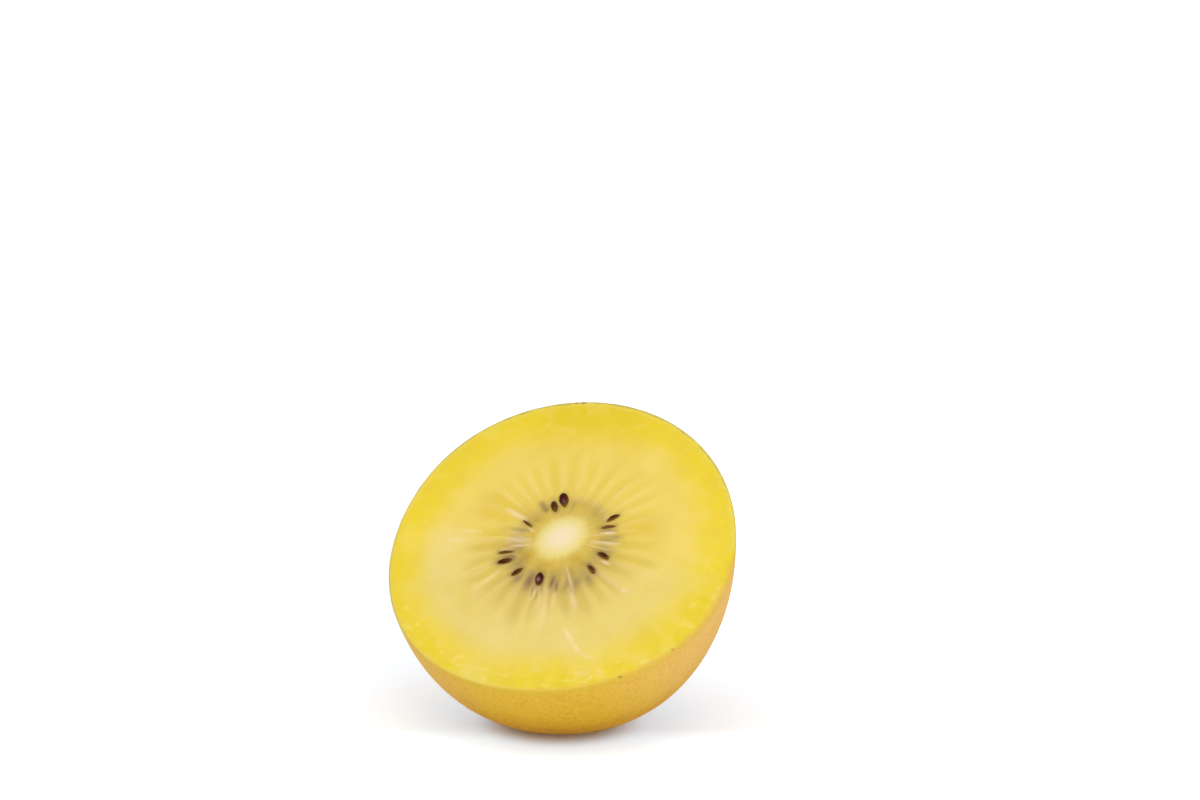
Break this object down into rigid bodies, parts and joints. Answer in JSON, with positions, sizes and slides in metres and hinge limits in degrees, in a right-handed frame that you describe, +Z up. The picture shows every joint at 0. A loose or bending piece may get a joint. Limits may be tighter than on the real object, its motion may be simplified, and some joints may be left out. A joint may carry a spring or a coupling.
{
  "type": "golden kiwi fruit half",
  "caption": "Half of a golden kiwi fruit, cut across and resting on its skin, with its golden flesh, pale heart and dark seeds facing forward and up.",
  "frame": {"origin": "middle of the small flat spot under the half, on the surface that it rests on", "axes": "+Z up; the cut faces -Y and up, 39.5 degrees from level; +X runs across the cut to its right"},
  "size_m": [0.0567, 0.0509, 0.0494],
  "materials": {
    "skin": "satin",
    "flesh": "gloss",
    "heart": "satin",
    "seed": "gloss",
    "sepal": "matte"
  },
  "bodies": {
    "root": {"skin": "skin", "flesh": "flesh", "heart": "heart", "seed_01": "seed", "seed_02": "seed", "seed_03": "seed", "seed_04": "seed", "seed_05": "seed", "seed_06": "seed", "seed_07": "seed", "seed_08": "seed", "seed_09": "seed", "seed_10": "seed", "seed_11": "seed", "seed_12": "seed", "sepal_1": "sepal", "sepal_2": "sepal", "sepal_3": "sepal"}
  },
  "joints": []
}
